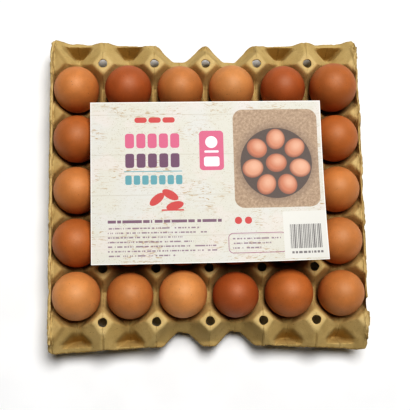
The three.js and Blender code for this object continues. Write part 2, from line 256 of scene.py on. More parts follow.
def pulp_material():
    """Grey-yellow moulded pulp: matted fibres, flecks, mottling and the mould's thin seams."""
    s = Shader("pulp", Specular_IOR_Level=0.25)
    tone = {name: linear(*shade) for name, shade in PULP.items()}
    broad = s.noise(28, 2)
    patch = s.noise(7, 4, 0.6, offset=40)
    grain = s.noise(0.9, 5, 0.7)
    fibres = s.noise(0.8, 3, 0.6, place=s.vector("MULTIPLY", s.place, FIBRE_STRETCH), offset=15)
    colour = s.mix(s.between(broad, 0.35, 0.65), tone["middle"], tone["light"])
    colour = s.mix(s.between(patch, 0.52, 0.78, 0, 0.45), colour, tone["dark"])
    colour = s.mix(s.between(grain, 0.3, 0.7, 0.34, 0), colour, tone["dark"])
    flecks = s.between(s.noise(1.5, 2, 0.5, offset=90), 0.70, 0.74, 0, 0.75)
    colour = s.mix(flecks, colour, tone["dark fleck"])
    pale = s.between(s.noise(1.9, 2, 0.5, offset=140), 0.70, 0.75, 0, 0.6)
    colour = s.mix(pale, colour, tone["pale fleck"])

    # Thin broken seams along the lines of pegs, and a browner rim: painted shade along the torn edge,
    # in patches.
    parts = s.split()
    lattice = s.math("DIVIDE", parts["X"], PITCH / 2)
    wander = s.math("MULTIPLY", s.math("SUBTRACT", s.noise(14, 2, offset=60), 0.5), SEAM_WANDER)
    from_line = s.math("ABSOLUTE", s.math("ADD", wander, s.math(
        "MULTIPLY", s.math("SUBTRACT", lattice, s.math("ROUND", lattice)), PITCH / 2)))
    seam = s.between(from_line, *SEAM_HALF, 1, 0)
    seam = s.math("MULTIPLY", seam, s.between(s.noise(9, 2, offset=200), 0.4, 0.6))
    colour = s.mix(s.math("MULTIPLY", seam, 0.4), colour, tone["seam"])
    rim = s.node("ShaderNodeAttribute", attribute_name="rim").outputs["Fac"]
    rim_patches = s.between(s.noise(2.2, 3, 0.6), 0.35, 0.6, 0.05, 0.6)
    # painted shade along the torn rim, in patches
    rim_shade_and_board_wear = s.math("MULTIPLY", s.between(rim, 0.25, 0.95), rim_patches)
    colour = s.mix(rim_shade_and_board_wear, colour, tone["painted rim shade"])

    # Painted highlight on the peg tops, painted golden shade everywhere below them, browner left half
    # pegs with a painted highlight on their outer lip, and painted shade at the bottom of the cups.
    colour = s.mix(s.between(parts["Z"], *PEG_TOP_HIGHLIGHT_Z, 0, 0.25), colour, tone["painted peg top highlight"])
    colour = s.mix(s.between(parts["Z"], *BELOW_TOP_SHADE_Z, 0.24, 0), colour, tone["painted shade below peg tops"])
    outer, outer_full, inner_full, inner = LEFT_PEG_TINT_X
    left_pegs = s.math("MULTIPLY", s.between(parts["X"], inner_full, inner, 0.4, 0),
                       s.between(parts["X"], outer, outer_full))
    left_pegs = s.math("MULTIPLY", left_pegs, s.between(parts["Z"], 36, 40))
    colour = s.mix(left_pegs, colour, tone["left pegs"])
    # painted highlight on the outer lip of the left edge
    colour = s.mix(s.between(parts["X"], *LEFT_LIP_LIGHT_X, 0.4, 0), colour, tone["painted left lip light"])
    # painted shade at the bottom of the cups, a little patchy
    deep = s.math("MULTIPLY", s.between(parts["Z"], *CUP_SHADE_Z, 0.15, 0),
                  s.between(patch, 0.3, 0.6, 0.7, 1))
    colour = s.mix(deep, colour, tone["deep"])

    # Frayed streaks across the side lips.
    streak_place = s.vector("MULTIPLY", s.place, STREAK_STRETCH)
    streaks = s.noise(1.5, 3, 0.6, place=streak_place, offset=220)
    frayed = s.between(s.math("ABSOLUTE", parts["X"]), *FRAYED_X)
    frayed = s.math("MULTIPLY", frayed, s.between(parts["Z"], *FRAYED_Z))
    marks = s.math("MULTIPLY", frayed, s.between(streaks, 0.46, 0.62, 0, 0.6))
    colour = s.mix(marks, colour, tone["frayed"])

    relief = s.math("ADD", s.math("MULTIPLY", grain, 0.55), s.math("MULTIPLY", fibres, 0.45))
    normal = s.bump(relief, 0.5, 0.8)
    normal = s.bump(patch, 0.8, 0.6, normal)
    normal = s.bump(seam, 0.35, 0.8, normal)
    normal = s.bump(s.math("MULTIPLY", frayed, streaks), 1.6, 0.8, normal)
    roughness = s.between(grain, 0.2, 0.8, 0.86, 0.98)
    return s.finish(colour, roughness, normal)


def shell_material(name, shade, seed):
    """A matt eggshell: soft mottling, fine darker speckles and pores."""
    s = Shader(name, IOR=1.6, Specular_IOR_Level=1.0, Specular_Tint=(1.0, 0.92, 0.82, 1.0))
    base = Vector(linear(*shade)[:3])
    deep, bright, speckle = (tuple(base * share) + (1,)
                             for share in (SHELL_DEEP, SHELL_BRIGHT, SHELL_SPECKLE))
    cloud = s.noise(13, 3, 0.55, offset=31 * seed)
    colour = s.mix(s.between(cloud, 0.35, 0.68), deep, bright)
    fine = s.noise(1.3, 4, 0.65, offset=17 * seed)
    colour = s.mix(s.between(fine, 0.3, 0.7, 0.0, 0.4), colour, deep)
    speckles = s.between(s.noise(1.5, 1.5, 0.5, offset=7 + 23 * seed), 0.71, 0.74, 0, 0.55)
    colour = s.mix(speckles, colour, speckle)
    pores = s.noise(0.55, 2, 0.5, offset=3 * seed)
    normal = s.bump(pores, 0.06, 0.55)
    normal = s.bump(fine, 0.12, 0.5, normal)
    roughness = s.between(fine, 0.25, 0.75, 0.60, 0.70)
    return s.finish(colour, roughness, normal)


# ---- Tray -----------------------------------------------------------------------------------

CREASE = 1.8  # rounding of creases, as a height
EDGE = 1.8  # rounding of convex edges, as a height

# End pockets: how far out each steep face starts at the floor, and its slope.
POCKET_CREASE, POCKET_FOOT_CREASE = 0.9, 4.0
POCKET_FOOT_HALF, POCKET_SIDE_SLOPE = 4.1, 2.6
POCKET_CORNER_Y, POCKET_CORNER_SLOPE, POCKET_CORNER_TURN = 136.4, 5.0, (0.735, 0.678)
POCKET_INNER_Y, POCKET_INNER_SLOPE = 136.2, 3.4
POCKET_WALL_Y, POCKET_WALL_SLOPE = 137.8, 4.2
POCKET_RIM_Z, RIM_START, RIM_FALL = 24.8, 142.8, 0.8
MOUTH_ROUND, FRONT_MOUTH_ROUND, MOUTH_EDGE = 2.6, 8.0, 1.0  # how round the pockets' mouths are
MOUTH_Y = (136, 141)  # where their inner roundness gives way to that of the edge

# Upper level of the end rows: ridges from the pegs to the posts, and flanks down to the pockets.
RIDGE_START, RIDGE_HALF, RIDGE_SLOPE, RIDGE_OVERRUN = 130.5, 2.8, 1.4, 1.2
RIDGE_END_HIGH, RIDGE_END_LOW = 32.0, 26.5
CREST_SHEET, ROOF_SHEET = 1.2, 0.15  # the share of the sheet between upper side and underside
FLANK_OUT, FLANK_Y, FLANK_SLOPE, FLANK_FALL = 11.75, 143.0, 1.0, 0.69
FOOT_Y = 125.0  # where the saddles begin to fall towards the ends
ROOF_ROUND, SADDLE_ROUND = 1.0, 1.2

# Waviness of the whole sheet along x and y, and its roughness, as layers of noise.
WARP_X, WARP_Y = ((0.55, 31, 1), (0.22, 9, 2)), ((0.55, 33, 3), (0.22, 8, 4))
FLAT_BELOW = (0.5, 4)  # heights between which the roughness sets in on the upper side

# Pleats in the posts, with a raised lip beside each, and fainter ones in the saddles.
FOLD_START, FOLD_WIDTH, FOLD_DEPTH, FAINT_FOLD_DEPTH = (9, 13), 0.6, 1.1, 0.3
FOLD_LIP, FOLD_LIP_AT, FOLD_LIP_WIDTH = 0.9, 1.35, 0.65
FOLD_WANDER, FOLD_Z, UNDERSIDE_FOLD = 0.9, (12, 20), 0.5

# Pegs: the faces, the uneven and slightly crowned tops, and the drawn-in rims of the holes.
PEG_FACE_HALF, PEG_FACE_RUN = 9.5, 0.383
PEG_CORNER_ROUND, PEG_CORNER_BACK = 1.4, 0.35
PEG_TOP_UNEVEN, PEG_TOP_CROWN = 0.5, 0.05
LEFT_PEG_SHIFT = 2.0  # the left half pegs reach further in
LEFT_PEG_DROOP, LEFT_DROOP_X = 0.13, 134  # and droop towards the edge
DRAGGED_PEG, DRAGGED_REACH, DRAGGED_BY = (-143, -124), (20, 18), 4.0  # one was pulled along y
HOLE_DRAW, HOLE_DRAW_REACH, HOLE_DRAW_START = 0.7, 0.7, 0.3
HOLE_FROM_SIDE, HOLE_RIM_DEPTH = 10, 3  # only whole pegs have holes, and only tops are drawn in
HOLE_SIDES, HOLE_UNEVEN, HOLE_BELOW, HOLE_ABOVE = 28, 0.13, 8, 4

# Side edges.
SIDE_RAMP, SIDE_PEG_END = 3, 6  # ramps beside the half pegs, and where the flat top ends
WALL_SLOPE, WALL_ROUND, WALL_CREASE = 14.0, 1.2, 1.6
LIP_START, LIP_DROOP, LIP_FLAT = 143.6, 0.9, 0.6
SIDE_UNEVEN = 0.5
FRAY_X, UNDERSIDE_FRAY = (140.5, 143.5), 0.4

# Torn edges.
RIM_WIDTH = 2.2
EDGE_MARGIN = 0.45  # the rounded band along the edge stands out by a little less
BAND_BULGE, BAND_UNEVEN = 0.3, 0.14
BITE_LIMIT, BITE_DEPTH, NICK_LIMIT, NICK_DEPTH = 0.4, 2.4, 0.45, 1.4
LEFT_WEAR, RIGHT_WEAR = 0.7, 0.35  # the left edge's share, and what the right edge has more
RIGHT_GAPS = ((2.5, -114.5, -102.5), (1.5, -200.0, -128.0))  # torn strips: depth, from y, to y
MIN_SHEET = 1.1
SHARP_ANGLE = 48  # in degrees, above which an edge isn't shaded smooth

# Grid lines: over half a cell from its middle, over the side edges and past the last pegs.
CELL_LINES_X = [0, 1.8, 3.4, 4.6, 5.8, 7.0, 8.2, 9.4, 10.6, 11.8, 13.0, 14.4, 15.8, 17.2,
                18.6, 20.0, 21.4, 22.8, PITCH / 2]
CELL_LINES_Y = [0, 4.0, 8.0, 10.6, 12.4, 14.0, 15.4, 16.8, 18.2, 19.4, 20.6, 21.8, 23.0, PITCH / 2]
WALL_LINES = [142.3, 142.65, 143.0, 143.35, 143.7, 144.2, 144.8, 145.4, 146.0, 146.5,
              LIP_X - EDGE_MARGIN]
END_START = LAST_PEG_Y + 1.2
END_STEPS = np.concatenate([np.linspace(0, 0.24, 6)[1:], np.linspace(0.24, 1, 27)[1:]])


def slant(run, inset):
    """How much further out a face leans at the same height when it is moved inset into the pulp."""
    return inset * math.hypot(1, run)


def side_profile(y):
    """Top of a side edge: highest at the half pegs, falling to the saddle level at the corners."""
    marks, heights = [0.0], [SIDE_WALL_Z]
    for k in range(3):
        peg = (k + 0.5) * PITCH
        marks += [peg - PEG_TOP_HALF - SIDE_RAMP, peg - PEG_TOP_HALF + SIDE_RAMP,
                  peg + SIDE_PEG_END, peg + PEG_TOP_HALF + SIDE_RAMP]
        heights += [SIDE_WALL_Z, PEG_Z, PEG_Z, SIDE_WALL_Z]
    marks += [WALL_END_Y, WALL_END_Y + 2]
    heights += [SIDE_WALL_Z, SADDLE_Z]
    return np.interp(np.abs(y), marks, heights)


def end_pocket(u, y, inset):
    """A pocket's steep faces, from the distance to its centre line and to the tray's middle."""
    def face(past, slope):
        return POCKET_FLOOR_Z + past * slope - inset * math.hypot(1, slope)

    floor = np.full_like(u, POCKET_FLOOR_Z - inset)
    side = face(u - POCKET_FOOT_HALF, POCKET_SIDE_SLOPE)
    turn_u, turn_y = POCKET_CORNER_TURN
    corner = turn_u * (u - POCKET_FOOT_HALF) - turn_y * (y - POCKET_CORNER_Y)
    corner = face(corner, POCKET_CORNER_SLOPE)
    inner = face(POCKET_INNER_Y - y, POCKET_INNER_SLOPE)
    wall = face(y - POCKET_WALL_Y, POCKET_WALL_SLOPE)
    surface = smooth_max(side, corner, POCKET_CREASE)
    surface = smooth_max(surface, inner, POCKET_CREASE)
    surface = smooth_max(surface, wall, POCKET_CREASE)
    return smooth_max(floor, surface, POCKET_FOOT_CREASE)


def end_notch(u, v, inset):
    """A notch's surface, from the distances to its centre line and to the end row's."""
    top_half = CUP_HALF + (SADDLE_Z - FLOOR_Z) * CUP_SIDE_RUN
    top_corner = CUP_CORNER + (SADDLE_Z - FLOOR_Z) * CUP_CORNER_RUN
    across = np.maximum(u, v) - slant(NOTCH_SIDE_RUN, inset)
    corner = (u + v) / math.sqrt(2) - slant(NOTCH_CORNER_RUN, inset)
    side = SADDLE_Z - (top_half - across) / NOTCH_SIDE_RUN
    facet = SADDLE_Z - (top_corner - corner) / NOTCH_CORNER_RUN
    surface = smooth_max(np.full_like(u, NOTCH_FLOOR_Z - inset), side, CREASE)
    return smooth_max(surface, facet, CREASE)


def end_top(peg_x, peg_column, away, inset, in_pocket):
    """The upper level of an end row: saddle, roofs from the end pegs out to the posts, and rim."""
    across, beyond = np.abs(peg_x), away - LAST_PEG_Y
    end_z = np.where(np.abs(peg_column) > 1, RIDGE_END_HIGH, RIDGE_END_LOW)
    share = np.clip((away - RIDGE_START) / (POST_Y - RIDGE_START), 0, RIDGE_OVERRUN)
    crest = PEG_Z + (end_z - PEG_Z) * share - inset * CREST_SHEET
    half = np.maximum(RIDGE_HALF, PEG_FACE_HALF - beyond)
    roof_side = crest - (across - half) * RIDGE_SLOPE - inset * ROOF_SHEET
    flank = SADDLE_Z + (FLANK_OUT - across) * FLANK_SLOPE + (FLANK_Y - away) * FLANK_FALL
    flank -= inset * math.sqrt(1 + FLANK_SLOPE ** 2 + FLANK_FALL ** 2)
    egg_side = PEG_Z + (PEG_FACE_HALF - across + beyond) / (math.sqrt(2) * PEG_FACE_RUN)
    egg_side -= inset * math.hypot(1, 1 / PEG_FACE_RUN)
    side = np.where(in_pocket, flank, roof_side)
    roof = smooth_min(smooth_min(crest, side, ROOF_ROUND), egg_side, ROOF_ROUND)
    saddle = POCKET_RIM_Z - inset - FLANK_FALL * np.maximum(0, away - FOOT_Y)
    rim = POCKET_RIM_Z - inset - RIM_FALL * np.maximum(0, away - RIM_START)
    wall = POCKET_FLOOR_Z + (away - POCKET_WALL_Y - inset) * POCKET_WALL_SLOPE
    rim = np.where(in_pocket, smooth_min(rim, wall, ROOF_ROUND), rim)
    return smooth_max(smooth_max(roof, saddle, SADDLE_ROUND), rim, ROOF_ROUND)


def folds(peg_x, away, x, y):
    """Small pleats in the posts and saddles, where the mould's halves met."""
    pleat = peg_x + FOLD_WANDER * value_noise(x, y, 11, 21)
    on_post = smooth_step(*FOLD_START, away - LAST_PEG_Y)
    dip = np.exp(-(pleat / FOLD_WIDTH) ** 2)
    lip = FOLD_LIP * np.exp(-((pleat - FOLD_LIP_AT) / FOLD_LIP_WIDTH) ** 2)
    return on_post * (lip - FOLD_DEPTH * dip) - (1 - on_post) * FAINT_FOLD_DEPTH * dip


def sheet_height(x, y, inset):
    """Height of the sheet over (x, y): its top surface, or its underside with inset = SHEET."""
    from_x = (x - DRAGGED_PEG[0]) / DRAGGED_REACH[0]
    from_y = (y - DRAGGED_PEG[1]) / DRAGGED_REACH[1]
    dragged = DRAGGED_BY * np.exp(-from_x ** 2 - from_y ** 2)
    px, py = x + noise_layers(x, y, WARP_X), y + (noise_layers(x, y, WARP_Y) + dragged)
    column = np.clip(np.floor(px / PITCH), -COLUMNS / 2, COLUMNS / 2 - 1) + 0.5
    u = np.abs(px - column * PITCH)
    row = np.clip(np.round(py / PITCH), -(ROWS - 1) / 2, (ROWS - 1) / 2)
    v = np.abs(py - row * PITCH)
    away = np.abs(py)

    across = np.maximum(u, v) - slant(CUP_SIDE_RUN, inset)
    cup = FLOOR_Z + (across - CUP_HALF) / CUP_SIDE_RUN
    cup = smooth_max(np.full_like(u, FLOOR_Z - inset), cup, CREASE)

    pocket = end_pocket(u, away, inset)
    notch = end_notch(u, np.abs(END_ROW_Y - away), inset)
    end = np.where(np.abs(column) < 1, notch, pocket)
    peg_column = np.clip(np.round(px / PITCH), -COLUMNS / 2, COLUMNS / 2)
    peg_x = px - peg_column * PITCH
    peg_x = peg_x - np.where(peg_column < 1 - COLUMNS / 2, LEFT_PEG_SHIFT, 0)
    top = end_top(peg_x, peg_column, away, inset, np.abs(column) > 1)
    mouth = np.where((py < 0) & (np.abs(column) > 1), FRONT_MOUTH_ROUND, MOUTH_ROUND)
    end = smooth_min(end, top, mouth + (MOUTH_EDGE - mouth) * smooth_step(*MOUTH_Y, away))
    low = np.where(away > LAST_PEG_Y, end, smooth_min(cup, SADDLE_Z - inset, EDGE))

    # The pegs are pyramids; their faces run on down as the corner faces of the cups.
    peg_y = py - np.clip(np.floor(py / PITCH) + 0.5, -ROWS / 2, ROWS / 2) * PITCH
    reach = np.sqrt(peg_x ** 2 + PEG_CORNER_ROUND) + np.sqrt(peg_y ** 2 + PEG_CORNER_ROUND)
    reach -= PEG_CORNER_BACK
    spread = math.sqrt(2) * PEG_FACE_RUN
    peg = PEG_Z + (PEG_FACE_HALF - reach - math.sqrt(2) * slant(PEG_FACE_RUN, inset)) / spread
    height = smooth_max(low, peg, CREASE)
    top_level = PEG_Z + PEG_TOP_UNEVEN * (value_noise(x, y, 13, 14) - 1) - PEG_TOP_CROWN * reach
    top_level -= LEFT_PEG_DROOP * np.maximum(0, -x - LEFT_DROOP_X)
    height = smooth_min(height, top_level - inset, EDGE)
    pleats = folds(peg_x, away, x, y) * smooth_step(*FOLD_Z, height)
    height += pleats * (UNDERSIDE_FOLD if inset else 1.0)

    # Upright side edges, with a lip that droops outwards.
    droop = LIP_DROOP * smooth_step(LIP_START + LIP_FLAT, LIP_X, np.abs(x)) ** 2
    top = side_profile(py) - inset - droop + SIDE_UNEVEN * value_noise(x * 0, y, 7, 15)
    wall = SADDLE_Z - inset + (np.abs(x) - SIDE_WALL_X - inset) * WALL_SLOPE
    height = smooth_max(height, smooth_min(wall, top, WALL_ROUND), WALL_CREASE)

    # The rim of each hole in a peg is drawn down a little.
    from_hole = np.maximum(np.hypot(peg_x, peg_y) - HOLE_RADIUS + HOLE_DRAW_START, 0)
    whole_peg = np.abs(px) < COLUMNS / 2 * PITCH - HOLE_FROM_SIDE
    inside = whole_peg & (height > PEG_Z - inset - HOLE_RIM_DEPTH)
    height -= np.where(inside, HOLE_DRAW * np.exp(-from_hole / HOLE_DRAW_REACH), 0)

    rough = noise_layers(x, y, ((0.24, 6.5, 5), (0.15, 2.6, 6 + inset)))
    frayed = smooth_step(*FRAY_X, np.abs(x)) * (UNDERSIDE_FRAY if inset else 1.0)
    streaks = 0.35 * value_noise(x * 2.2, y, 3.1, 61) + 0.3 * value_noise(x * 2.0, y, 1.7, 62)
    rough += frayed * streaks
    level = smooth_step(*FLAT_BELOW, height)
    return np.minimum(height + rough * (level if inset else 1.0), PEG_Z)


def end_edge(x):
    """Where the sheet ends, as a distance from the middle row, over x."""
    notch_x, rise = PITCH / 2, POST_Y - NOTCH_Y
    marks = [0, notch_x - NOTCH_HALF - rise, notch_x - NOTCH_HALF, notch_x + NOTCH_HALF,
             notch_x + NOTCH_HALF + rise, PITCH + POST_HALF, CORNER_X - CORNER_RADIUS, CORNER_X]
    edges = [POST_Y, POST_Y, NOTCH_Y, NOTCH_Y, POST_Y, POST_Y, CORNER_Y, CORNER_Y]
    steps = np.linspace(-2, 2, 5)
    softened = np.mean([np.interp(np.abs(x + step), marks, edges) for step in steps], 0)
    past = np.clip((np.abs(x) - CORNER_X + CORNER_RADIUS) / CORNER_RADIUS, 0, 1)
    return softened - CORNER_RADIUS * (1 - np.sqrt(1 - past ** 2))


def torn(along, seed):
    """How far a torn edge is set back, over the distance along it."""
    def layer(size, offset):
        return value_noise(along, along * 0, size, seed + offset)

    wear = 0.5 + 0.28 * layer(11, 0) + 0.3 * layer(3.1, 1) + 0.22 * layer(1.5, 3)
    bites = np.maximum(0, layer(8, 2) - BITE_LIMIT)
    nicks = np.maximum(0, layer(2.3, 5) - NICK_LIMIT)
    return np.maximum(0, wear) + BITE_DEPTH * bites + NICK_DEPTH * nicks


def full_lines(half, cells, ends):
    """Grid lines over a row of cells, from the lines of half a cell, ending with the given lines."""
    half = np.array(half)
    cell = np.concatenate([-half[:0:-1], half])
    centres = (np.arange(cells) - (cells - 1) / 2) * PITCH
    lines = np.unique(np.round(np.concatenate([cell + c for c in centres]), 4))
    keep = lines[np.abs(lines) < ends[0] - 0.5]
    return np.concatenate([-ends[::-1], keep, ends])


def sheet_grid():
    """Where the sheet's points lie in x and y, out to its torn edges."""
    xs = full_lines(CELL_LINES_X, COLUMNS, np.array(WALL_LINES))
    row_lines = full_lines(CELL_LINES_Y, ROWS, np.array([LAST_PEG_Y, END_START]))
    x_grid, y_rows = np.meshgrid(xs, row_lines, indexing="ij")

    def end_part(sign):
        x = np.repeat(xs[:, None], len(END_STEPS), 1)
        edge = end_edge(x) - EDGE_MARGIN - torn(x, 30 + sign)
        return x, sign * (END_START + (edge - END_START) * END_STEPS[None, :])

    low_x, low_y = end_part(-1)
    high_x, high_y = end_part(1)
    x = np.concatenate([low_x[:, ::-1], x_grid, high_x], 1)
    y = np.concatenate([low_y[:, ::-1], y_rows, high_y], 1)

    # The two side edges are torn too: the lines beyond the wall slide in with the edge.
    right_gap = sum(depth * (1 - smooth_step(high - 1, high + 1, y)) * smooth_step(low - 1, low + 1, y)
                    for depth, low, high in RIGHT_GAPS)
    taken = np.where(x > 0, torn(y, 40) + RIGHT_WEAR + right_gap, torn(y, 50) * LEFT_WEAR)
    outer = np.clip((np.abs(x) - LIP_START) / (LIP_X - EDGE_MARGIN - LIP_START), 0, 1)
    return x - np.sign(x) * outer * taken, y


def tray_mesh(material):
    """The sheet: its upper side, its underside and a rounded torn edge between them."""
    x, y = sheet_grid()
    top = sheet_height(x, y, 0.0)
    under = np.maximum(np.minimum(sheet_height(x, y, SHEET), top - MIN_SHEET), 0)
    nx, ny = x.shape
    count = nx * ny
    points = np.concatenate([
        np.stack([x, y, top], -1).reshape(-1, 3),
        np.stack([x, y, under], -1).reshape(-1, 3),
    ])
    index = np.arange(count).reshape(nx, ny)
    a, b = index[:-1, :-1].ravel(), index[1:, :-1].ravel()
    c, d = index[1:, 1:].ravel(), index[:-1, 1:].ravel()
    faces = np.concatenate([np.stack([a, b, c, d], 1), np.stack([d, c, b, a], 1) + count])

    # The torn edge: a rounded band between the two surfaces.
    loop = outline(index)
    ring = points[loop]
    ahead, behind = np.roll(ring, -1, 0), np.roll(ring, 1, 0)
    along = ahead[:, :2] - behind[:, :2]
    along /= np.maximum(np.linalg.norm(along, axis=1, keepdims=True), 1e-6)
    outward = np.stack([along[:, 1], -along[:, 0]], 1)
    middle = (points[loop] + points[loop + count]) / 2
    bulge = BAND_BULGE + BAND_UNEVEN * value_noise(ring[:, 0], ring[:, 1], 1.9, 12)
    middle[:, :2] += outward * bulge[:, None]
    first = len(points)
    points = np.concatenate([points, middle])
    band = first + np.arange(len(loop))
    loop_next, band_next = np.roll(loop, -1), np.roll(band, -1)
    upper = np.stack([loop, band, band_next, loop_next], 1)
    lower = np.stack([band, loop + count, loop_next + count, band_next], 1)
    faces = np.concatenate([faces, upper, lower])
    made = mesh_object("tray_pulp", points, faces, material)

    # How near each point is to the torn edge, for the material.
    from_side = np.minimum(np.abs(x[-1] - x), np.abs(x - x[0]))
    from_end = np.minimum(np.abs(y[:, -1:] - y), np.abs(y - y[:, :1]))
    near = np.clip(1 - np.minimum(from_side, from_end) / RIM_WIDTH, 0, 1).ravel()
    rim = made.data.attributes.new("rim", "FLOAT", "POINT")
    rim.data.foreach_set("value", np.concatenate([near, near, np.ones(len(loop))]))
    return made


def drill_holes(tray):
    """Cuts the round holes through the pegs' tops, each a little uneven."""
    points, faces = [], []
    for i in range(1, COLUMNS):
        for j in range(ROWS + 1):
            centre_x, centre_y = (i - COLUMNS / 2) * PITCH, (j - ROWS / 2) * PITCH
            first, upper = len(points), len(points) + HOLE_SIDES
            for z in (PEG_Z - HOLE_BELOW, PEG_Z + HOLE_ABOVE):
                for k in range(HOLE_SIDES):
                    angle = 2 * math.pi * k / HOLE_SIDES
                    uneven = math.sin(3 * angle + 5 * i + j) + 0.7 * math.sin(5 * angle + 2 * j + i)
                    radius = HOLE_RADIUS + HOLE_UNEVEN * uneven
                    points.append((centre_x + radius * math.cos(angle),
                                   centre_y + radius * math.sin(angle), z))
            faces.append([first + k for k in range(HOLE_SIDES)][::-1])
            faces.append([upper + k for k in range(HOLE_SIDES)])
            for k in range(HOLE_SIDES):
                n = (k + 1) % HOLE_SIDES
                faces.append([first + k, first + n, upper + n, upper + k])
    cutter = mesh_object("hole_cutter", points, faces, tray.data.materials[0])
    modifier = tray.modifiers.new("holes", "BOOLEAN")
    modifier.operation = "DIFFERENCE"
    modifier.solver = "MANIFOLD"
    modifier.object = cutter
    with bpy.context.temp_override(object=tray, active_object=tray, selected_objects=[tray]):
        bpy.ops.object.modifier_apply(modifier="holes")
    bpy.data.objects.remove(cutter)
    tray.data.set_sharp_from_angle(angle=math.radians(SHARP_ANGLE))


# ---- Eggs -----------------------------------------------------------------------------------

SHADES = {
    "pale": (225, 155, 90),
    "tan": (212, 138, 73),
    "brown": (195, 114, 48),
    "russet": (181, 95, 35),
}
EGG_ROWS = [  # back row first, left to right
    ["tan", "russet", "tan", "pale", "russet", "brown"],
    ["brown", "tan", "brown", "tan", "pale", "brown"],
    ["tan", "brown", "pale", "russet", "tan", "tan"],
    ["brown", "pale", "tan", "brown", "tan", "tan"],
    ["pale", "tan", "pale", "russet", "brown", "tan"],
]
SHADE_SPREAD, SHELL_UNEVEN = 0.025, 0.004
EGG_SEGMENTS, EGG_RINGS = 56, 36


def draw(egg, purpose):
    """A repeatable draw between -1 and 1, the same as the solids use."""
    wave = math.sin(egg * 12.9898 + purpose * 78.233) * 43758.5453
    return 2 * (wave - math.floor(wave)) - 1


def egg_place(row, column):
    """Radius, centre and tilt of the egg in a cup, resting on the cup's corner faces."""
    number = row * COLUMNS + column
    big = row == 0 and column == COLUMNS - 1
    radius = EGG_BIG_RADIUS if big else EGG_RADIUS + EGG_RADIUS_SPREAD * draw(number, 1)
    room = EGG_WALL_X - EGG_WALL_CLEARANCE - radius
    cup_x = (column - (COLUMNS - 1) / 2) * PITCH
    cup_y = ((ROWS - 1) / 2 - row) * PITCH
    x = min(max(cup_x + EGG_SHIFT * draw(number, 2), -room), room)
    y = cup_y + EGG_SHIFT * draw(number, 3)
    reach = math.hypot(radius, CUP_CORNER_RUN * EGG_BELOW)
    offset = (abs(x - cup_x) + abs(y - cup_y)) / math.sqrt(2)
    z = FLOOR_Z + (reach + offset - CUP_CORNER + EGG_CLEARANCE) / CUP_CORNER_RUN
    tilt = [math.radians(EGG_TILT * draw(number, purpose)) for purpose in (4, 5)]
    return radius, (x, y, z), tilt


def egg_piece(row, column):
    """One egg's shell in place of its solid."""
    number = row * COLUMNS + column
    radius, centre, tilt = egg_place(row, column)
    kind = EGG_ROWS[row][column]
    shade = [value * (1 + SHADE_SPREAD * draw(number, 6)) for value in SHADES[kind]]
    name = f"egg_r{row + 1}_c{column + 1}"
    material = shell_material(f"shell_{name}", shade, number % 11 + 1)
    turn = Matrix.Rotation(tilt[0], 3, "X") @ Matrix.Rotation(tilt[1], 3, "Y")
    points, faces = [], []
    for i in range(EGG_RINGS + 1):
        angle = -math.pi / 2 + math.pi * i / EGG_RINGS
        height = math.sin(angle) * (EGG_BELOW if angle < 0 else EGG_ABOVE)
        pole = i in (0, EGG_RINGS)
        for k in range(1 if pole else EGG_SEGMENTS):
            around = 2 * math.pi * k / EGG_SEGMENTS
            girth = 0 if pole else radius * math.cos(angle)
            girth *= 1 + SHELL_UNEVEN * math.sin(2 * around + number) * math.cos(angle)
            point = Vector((girth * math.cos(around), girth * math.sin(around), height))
            points.append(tuple(turn @ point + Vector(centre)))
    last = len(points) - 1
    for k in range(EGG_SEGMENTS):
        n = (k + 1) % EGG_SEGMENTS
        faces.append([0, 1 + n, 1 + k])
        faces.append([last, last - EGG_SEGMENTS + k, last - EGG_SEGMENTS + n])
        for i in range(EGG_RINGS - 2):
            low, high = 1 + i * EGG_SEGMENTS, 1 + (i + 1) * EGG_SEGMENTS
            faces.append([low + k, low + n, high + n, high + k])
    egg = mesh_object(f"shell_{name}", points, faces, material)
    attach(egg, "root")
    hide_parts(name)


# ---- Card -----------------------------------------------------------------------------------

CARD_CELLS = (72, 50)
CARD_SHARP_ANGLE = 40  # in degrees
SOFT_EDGE, SHARP_EDGE = 0.12, 0.08  # half the width over which a shape's ink fades, in millimetres
INKS = {name: linear(*shade) for name, shade in {
    "ground": (220, 217, 204), "grey": (221, 220, 216), "blush": (231, 220, 214),
    "bare wood": (186, 154, 108), "chip": (170, 158, 122), "speck": (172, 166, 140),
    "board joint": (186, 176, 156), "cut edge": (250, 250, 248), "plain patch": (228, 226, 218),
    "pink": (216, 100, 136), "purple": (112, 64, 98), "teal": (98, 164, 172),
    "coral": (206, 62, 58), "small print": (124, 84, 114), "white": (250, 244, 244),
    "box line": (160, 92, 128), "bar": (62, 52, 58), "bar print": (90, 80, 86),
    "linen": (192, 164, 134), "dark thread": (136, 106, 80), "light thread": (218, 194, 166),
    "dish shadow": (120, 92, 72), "dish": (84, 64, 52), "oval rim": (160, 92, 60),
    "oval 0": (212, 142, 106), "oval 1": (204, 126, 88), "oval 2": (220, 158, 124),
    "oval light": (236, 188, 158),
}.items()}
BOARD_WIDTH, BOARD_START, JOINT_HALF = 37.0, 12.0, (0.004, 0.013)
DISH_X, DISH_Y, OVAL_CIRCLE, OVALS_ROUND = 62.5, 16.0, 22, 7
LINEN_THREADS = 5.2  # in radians for each millimetre


def card_lift(x, y):
    """Height of the card over its lowest level: flat, and curled at the front right corner."""
    inward = ((CARD_LENGTH / 2 - x) + (y + CARD_WIDTH / 2)) / math.sqrt(2)
    share = np.maximum(0, 1 - inward / CARD_CURL_LENGTH)
    return CARD_CURL * share * share


def card_height():
    """Lowest level of the card's underside: just clear of the highest egg under it."""
    covered = [(row, column) for row in range(1, ROWS - 1) for column in range(COLUMNS)]
    return CARD_GAP + EGG_ABOVE + max(egg_place(*cup)[1][2] for cup in covered)


